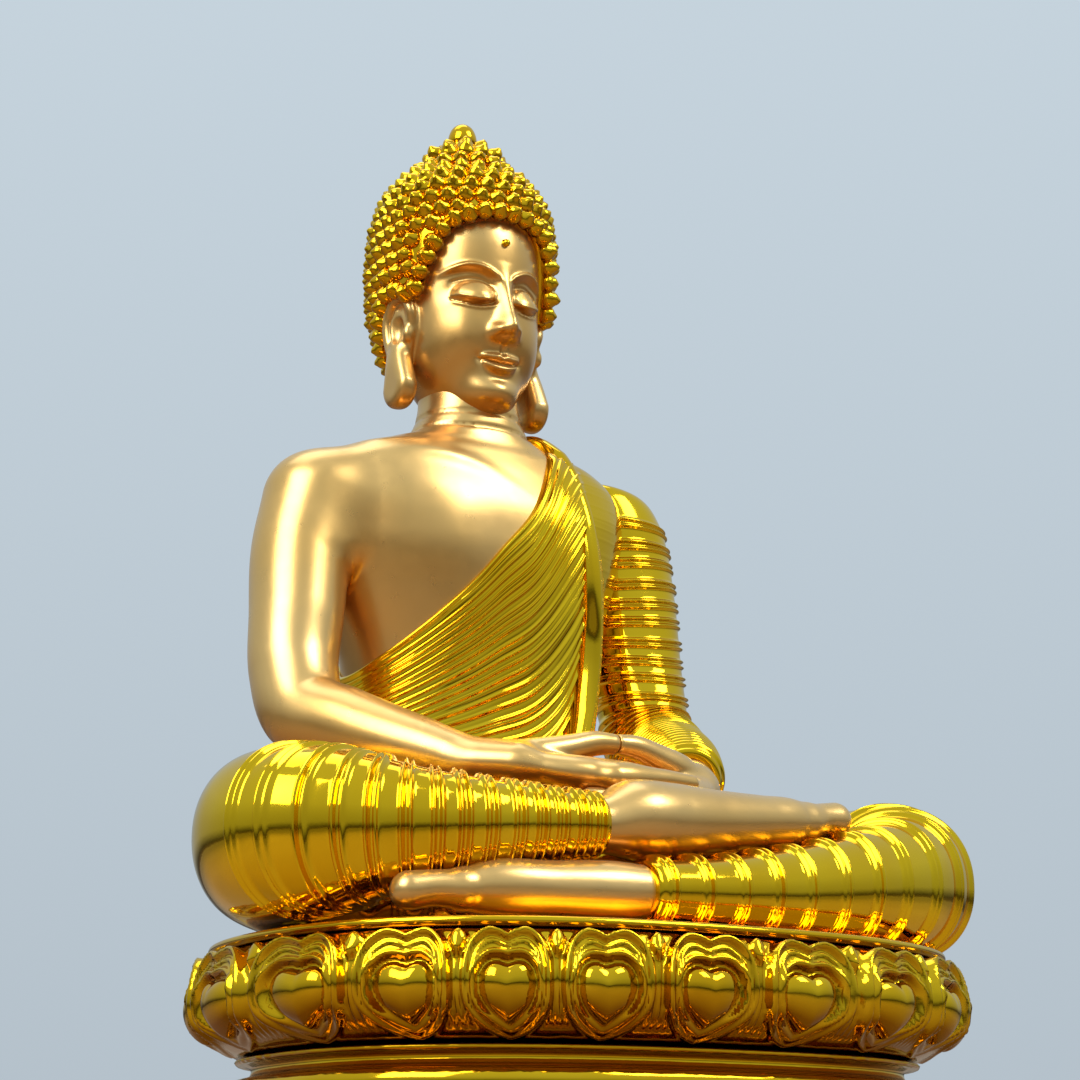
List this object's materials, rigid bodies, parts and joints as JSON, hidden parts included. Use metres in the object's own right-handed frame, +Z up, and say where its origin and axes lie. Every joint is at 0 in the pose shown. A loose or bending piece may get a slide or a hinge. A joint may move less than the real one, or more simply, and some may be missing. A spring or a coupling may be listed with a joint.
{
  "type": "seated buddha statue",
  "caption": "Seated meditating Buddha in a pleated robe on an oval lotus throne, plated and satin gold, figure lifts off its pegs.",
  "frame": {"origin": "on the ground, under the middle of the object's box", "axes": "+Z up, the figure faces -Y, its left hand is towards +X"},
  "size_m": [0.2224, 0.174, 0.3456],
  "materials": {
    "throne_gold": "mirror gold plating",
    "robe_gold": "mirror gold plating with fine ridges",
    "hair_gold": "mirror gold plating",
    "skin_gold": "satin pearl gold lacquer",
    "steel": "zinc plated",
    "board": "moulded, matt",
    "felt": "pressed felt"
  },
  "bodies": {
    "throne": {"base_felt": "felt", "base_cover": "board", "throne_plinth": "throne_gold", "lower_lotus": "throne_gold", "throne_waist": "throne_gold", "lotus_petals": "throne_gold", "lotus_seat": "throne_gold", "tie_rod": "steel", "clamp_plate": "steel", "tie_washer": "steel", "tie_nut": "steel", "cover_screw_1": "steel", "cover_screw_2": "steel", "cover_screw_3": "steel", "cover_screw_4": "steel"},
    "figure": {"figure_peg_left": "steel", "figure_peg_right": "steel", "figure_base": "board", "right_foot": "skin_gold", "right_leg": "robe_gold", "left_foot": "skin_gold", "left_leg": "robe_gold", "right_hand": "skin_gold", "left_hand": "skin_gold", "torso": "skin_gold", "robe_edge_band": "robe_gold", "robe_body": "robe_gold", "right_arm": "skin_gold", "left_sleeve": "robe_gold", "lap_robe": "robe_gold", "urna_bead": "hair_gold", "crown_finial": "hair_gold", "head": "skin_gold", "hair_cap": "hair_gold"}
  },
  "joints": [
    {"name": "figure_lift", "type": "slide", "parent": "throne", "child": "figure", "axis": [0, 0, 1], "range_m": [0, 0.04]}
  ]
}
